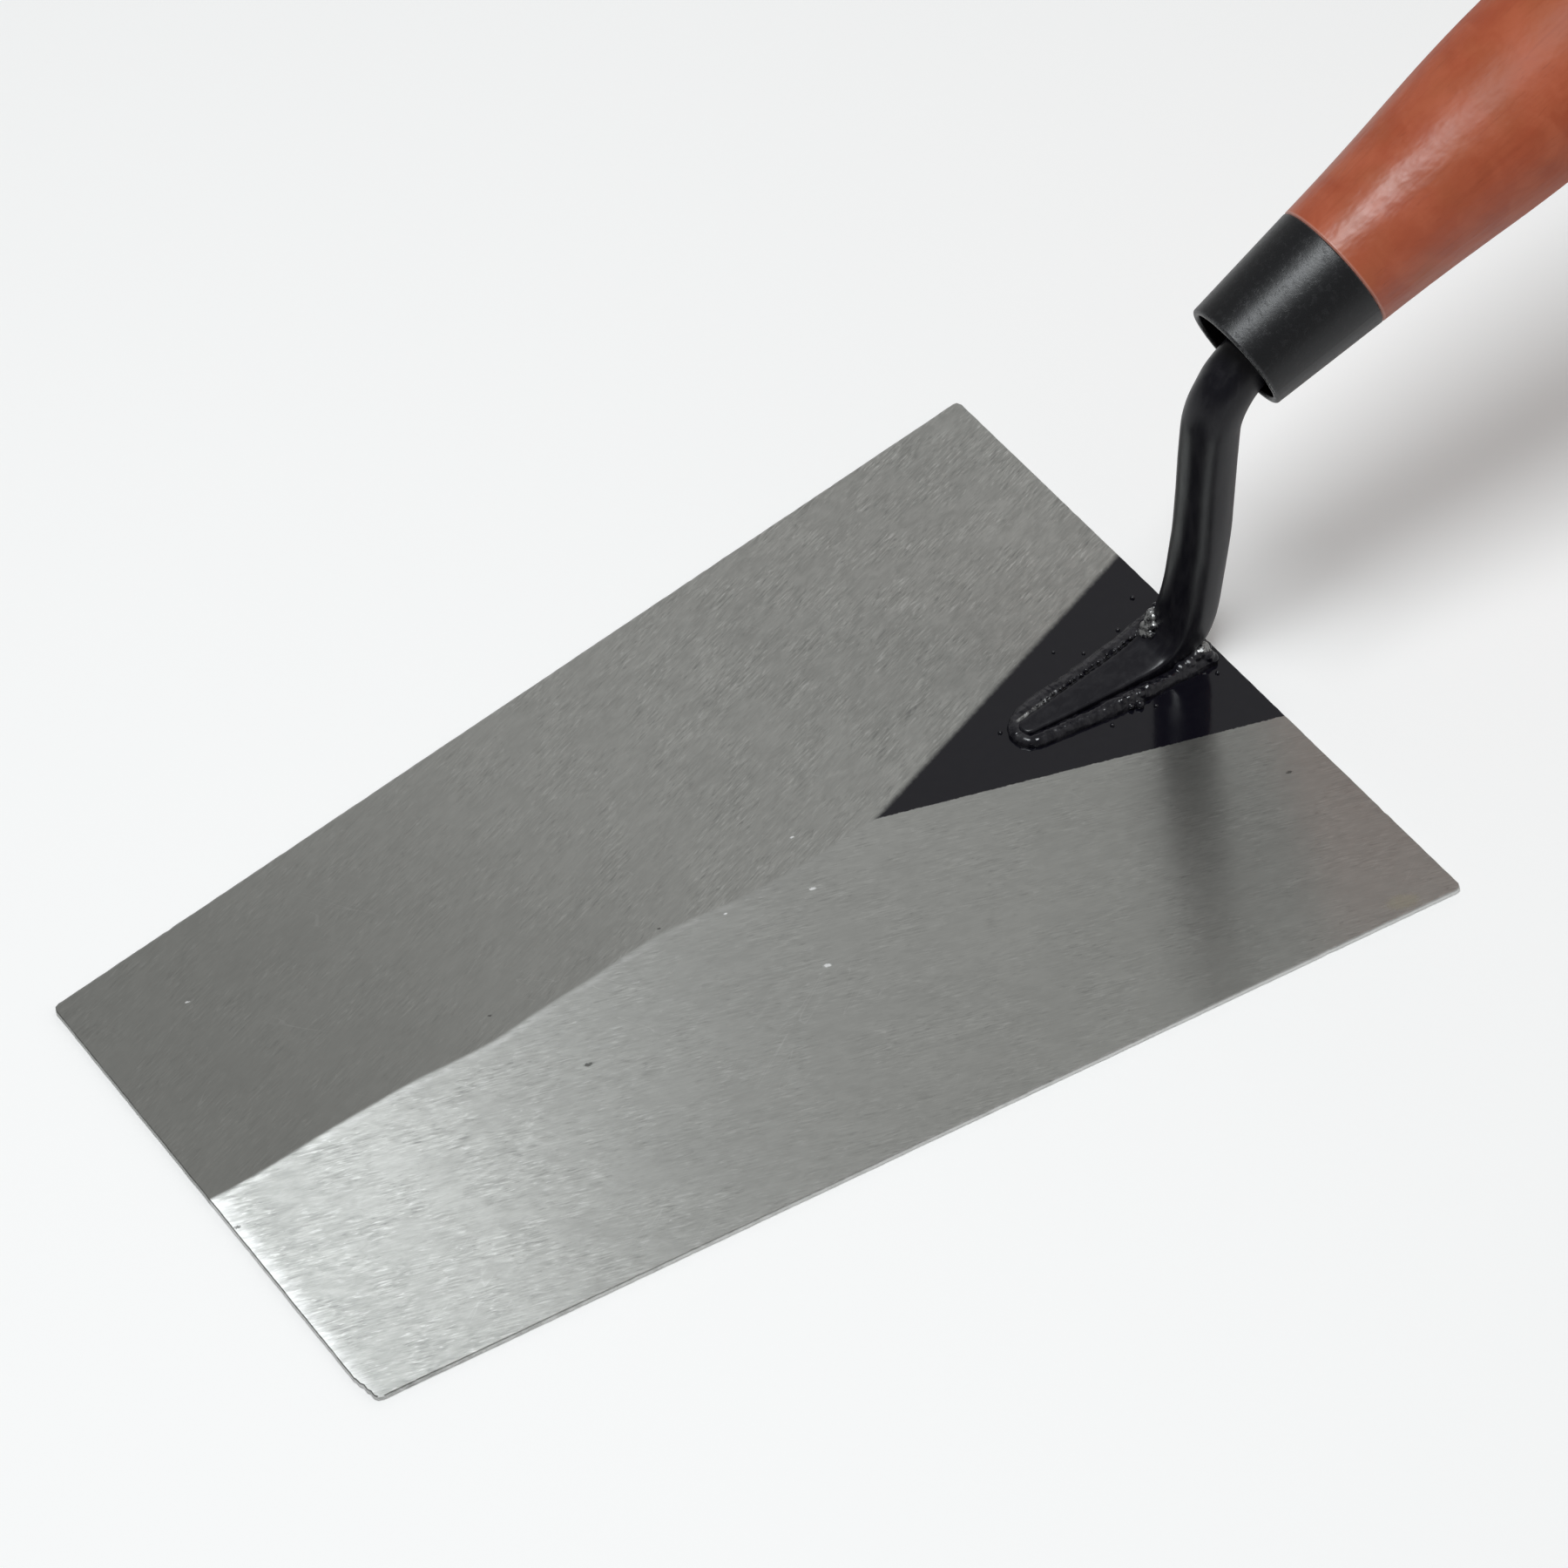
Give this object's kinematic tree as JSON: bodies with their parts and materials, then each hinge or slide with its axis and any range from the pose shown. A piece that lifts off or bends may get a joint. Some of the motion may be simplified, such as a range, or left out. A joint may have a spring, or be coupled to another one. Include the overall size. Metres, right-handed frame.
{
  "type": "square-nosed plastering trowel",
  "caption": "Flat tapered steel plastering trowel with a forged gooseneck shank, black ferrule and turned terracotta handle.",
  "frame": {"origin": "middle of the working face, which is the flat underside of the blade, at half the blade's length", "axes": "+Z out of the blade's back towards the handle, +Y from the nose to the heel and the handle, +X to the left of a user who looks at the nose"},
  "size_m": [0.137, 0.3258, 0.1301],
  "materials": {
    "blade_steel": "surface-ground along each half, with a gloss black painted triangle at the heel",
    "shank_paint": "gloss black paint",
    "weld_paint": "gloss black paint over rippled weld",
    "ferrule_plastic": "satin black",
    "handle_wood": "turned wood under satin terracotta lacquer"
  },
  "bodies": {
    "root": {"blade": "blade_steel", "shank": "shank_paint", "left_weld": "weld_paint", "right_weld": "weld_paint", "ferrule": "ferrule_plastic", "handle": "handle_wood"}
  },
  "joints": []
}
